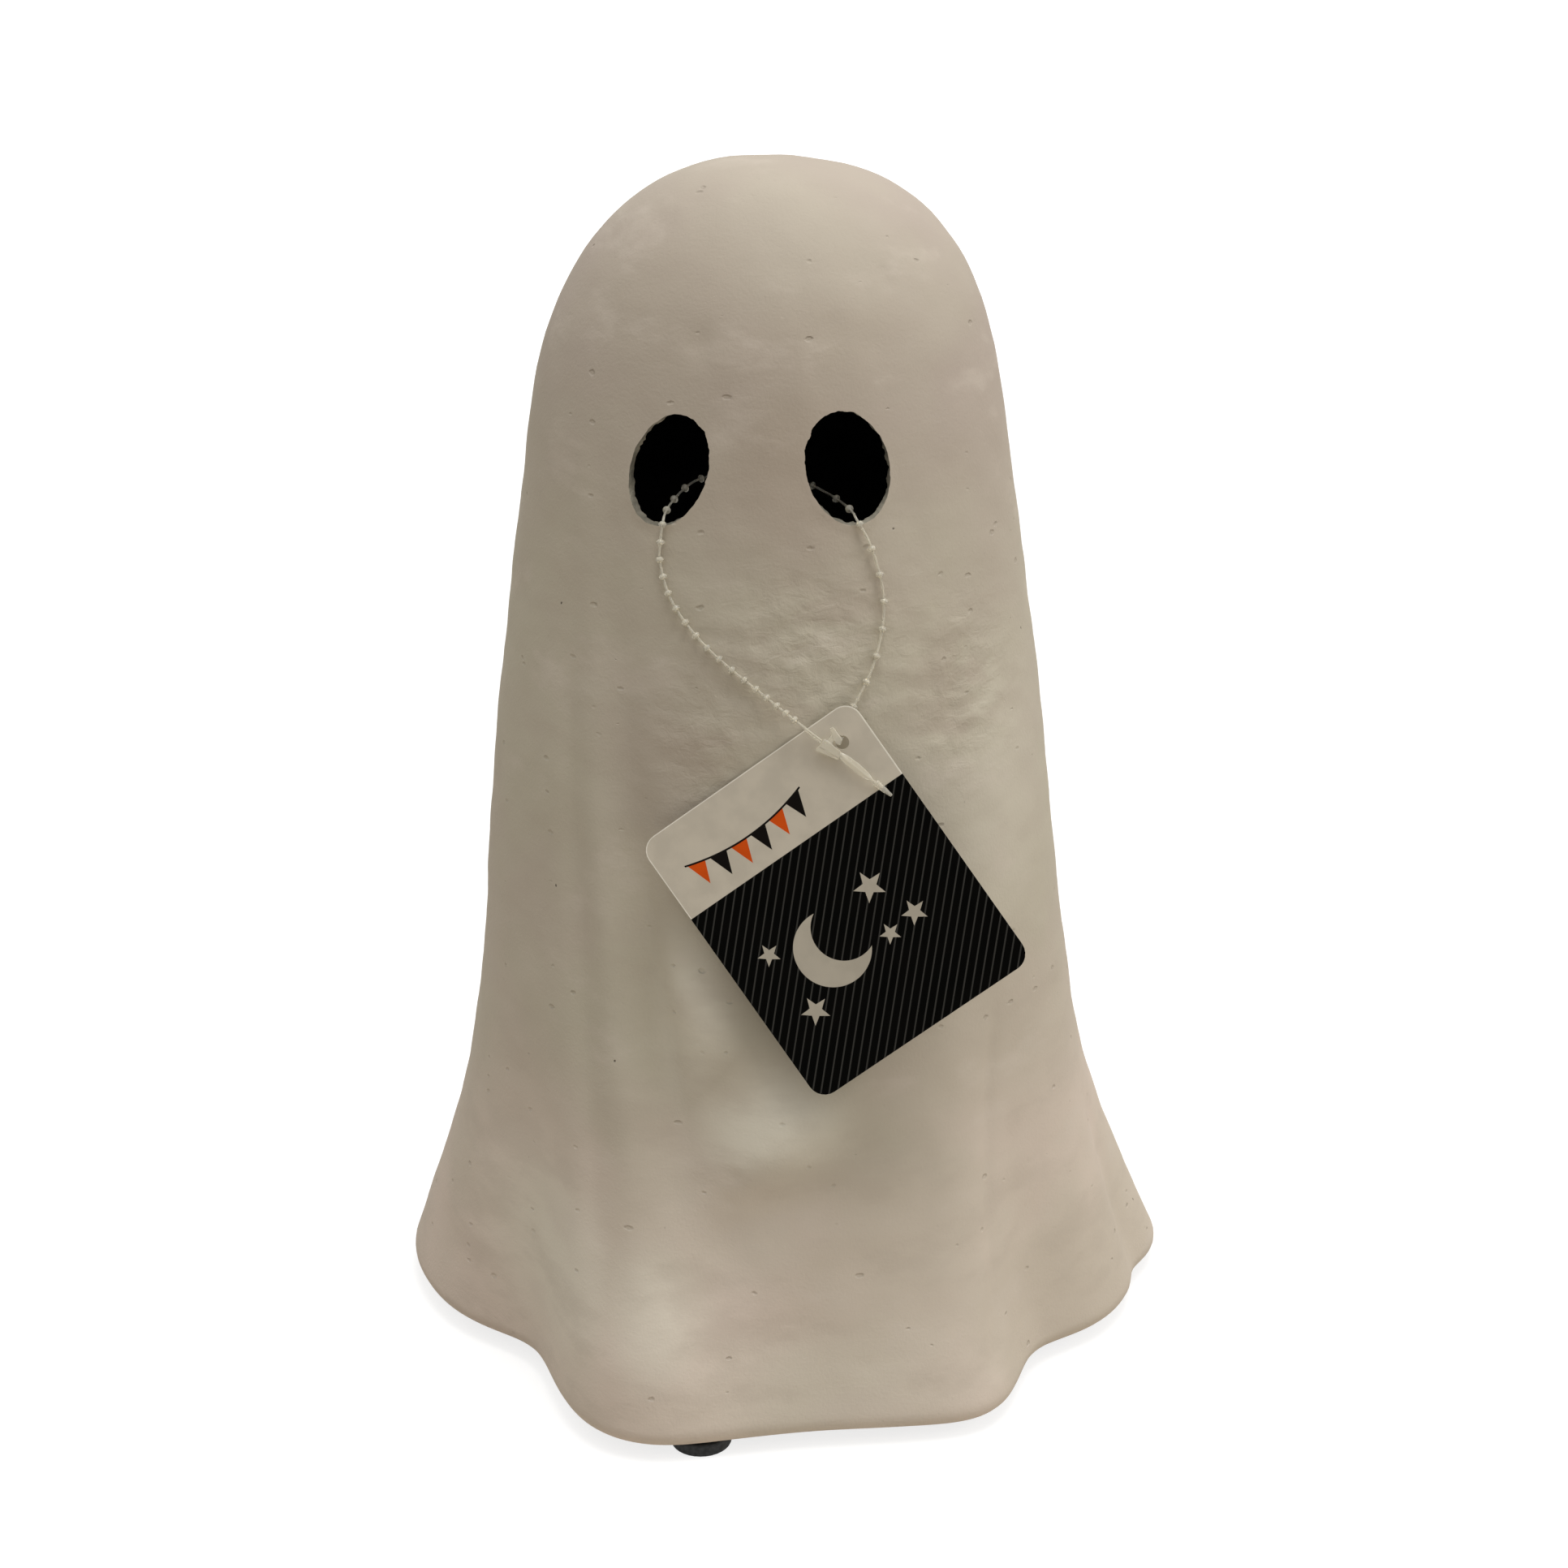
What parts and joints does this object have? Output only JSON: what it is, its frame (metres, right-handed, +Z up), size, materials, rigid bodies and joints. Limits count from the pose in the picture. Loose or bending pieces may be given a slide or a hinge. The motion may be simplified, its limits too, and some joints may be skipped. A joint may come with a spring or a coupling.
{
  "type": "paper mache ghost",
  "caption": "Hollow moulded paper ghost in a draped sheet, with two eye holes, a rolled hem on pads and a card tag on a beaded plastic loop.",
  "frame": {"origin": "on the surface it stands on, under the middle of the box of the shell and its pads", "axes": "+Z up, -Y out of the face, +X to the right of who faces it"},
  "size_m": [0.2178, 0.1984, 0.3182],
  "materials": {
    "papier": "rough warm grey papier with a black inside",
    "pad_rubber": "matt black",
    "clear_plastic": "clear, glossy",
    "tag_card": "printed card, one part pale and the rest black with thin stripes"
  },
  "bodies": {
    "root": {"ghost_shell": "papier", "pad_front": "pad_rubber", "pad_back_right": "pad_rubber", "pad_back_left": "pad_rubber", "loop_strand": "clear_plastic", "loop_lock": "clear_plastic", "hang_tag": "tag_card"}
  },
  "joints": []
}
